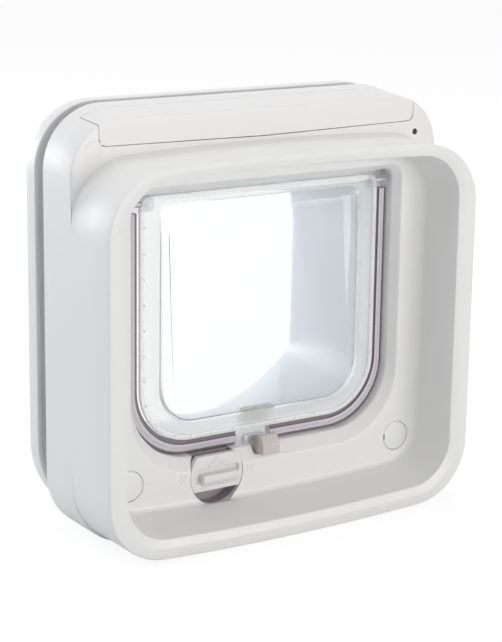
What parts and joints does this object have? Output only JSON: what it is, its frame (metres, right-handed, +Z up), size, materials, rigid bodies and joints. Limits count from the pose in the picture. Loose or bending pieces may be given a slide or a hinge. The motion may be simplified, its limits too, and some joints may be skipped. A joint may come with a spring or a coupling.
{
  "type": "pet flap",
  "caption": "Chip-reading pet flap for a door: arched collar, clear swinging flap, turn lock, battery bay and an outer frame on a sloping tunnel.",
  "frame": {"origin": "middle of the width and depth of the whole unit, on the level its housing stands on", "axes": "+X to the right seen from indoors, +Y outdoors through the tunnel, +Z up"},
  "size_m": [0.21, 0.116, 0.21],
  "materials": {
    "white_plastic": "fine satin moulding",
    "knob_plastic": "satin",
    "clear_plastic": "clear, polished",
    "clear_plastic_ribbed": "clear, ribbed",
    "seal_plastic": "dull grey",
    "latch_plastic": "warm grey, satin",
    "magnet_plating": "nickel plated",
    "steel": "zinc plated",
    "coil_wrap": "black tape",
    "cell_wrap": "printed sleeve, bare",
    "board_green": "solder mask",
    "chip_black": "moulded chips",
    "copper_winding": "enamelled copper",
    "lens_plastic": "smoked",
    "button_plastic": "satin"
  },
  "bodies": {
    "housing": {"front_case": "white_plastic", "rear_case": "white_plastic", "exterior_frame": "white_plastic", "flap_seal": "seal_plastic", "frame_magnet": "magnet_plating", "latch_coil": "coil_wrap", "screw_covers": "white_plastic", "fixing_screws": "steel", "case_screws": "steel", "battery_tray": "white_plastic", "battery_cells": "cell_wrap", "battery_contacts": "steel", "control_board": "board_green", "board_parts": "chip_black", "antenna_coil": "copper_winding", "led_lens": "lens_plastic"},
    "swinging_flap": {"flap": "clear_plastic", "hinge_pins": "steel", "magnet_holder": "clear_plastic_ribbed", "flap_magnet": "magnet_plating"},
    "catch": {"latch": "latch_plastic"},
    "turn_lock": {"lock_knob": "knob_plastic", "lock_cam": "white_plastic", "lock_screw": "steel"},
    "cover": {"battery_cover": "white_plastic"},
    "button": {"setup_button": "button_plastic"}
  },
  "joints": [
    {"name": "flap_hinge", "type": "hinge", "parent": "housing", "child": "swinging_flap", "pos_m": [0, -0.022, 0.165], "axis": [1, 0, 0], "range_deg": [-72, 72]},
    {"name": "latch_slide", "type": "slide", "parent": "housing", "child": "catch", "axis": [0, 0, 1], "range_m": [0, 0.006]},
    {"name": "lock_turn", "type": "hinge", "parent": "housing", "child": "turn_lock", "pos_m": [-0.0301, -0.03, 0.0285], "axis": [0, 1, 0], "range_deg": [0, 270]},
    {"name": "cover_lift", "type": "slide", "parent": "housing", "child": "cover", "axis": [0, 0, 1], "range_m": [0, 0.03]},
    {"name": "button_press", "type": "slide", "parent": "housing", "child": "button", "axis": [0, 0, -1], "range_m": [0, 0.001], "stiffness_N_per_m": 800}
  ]
}
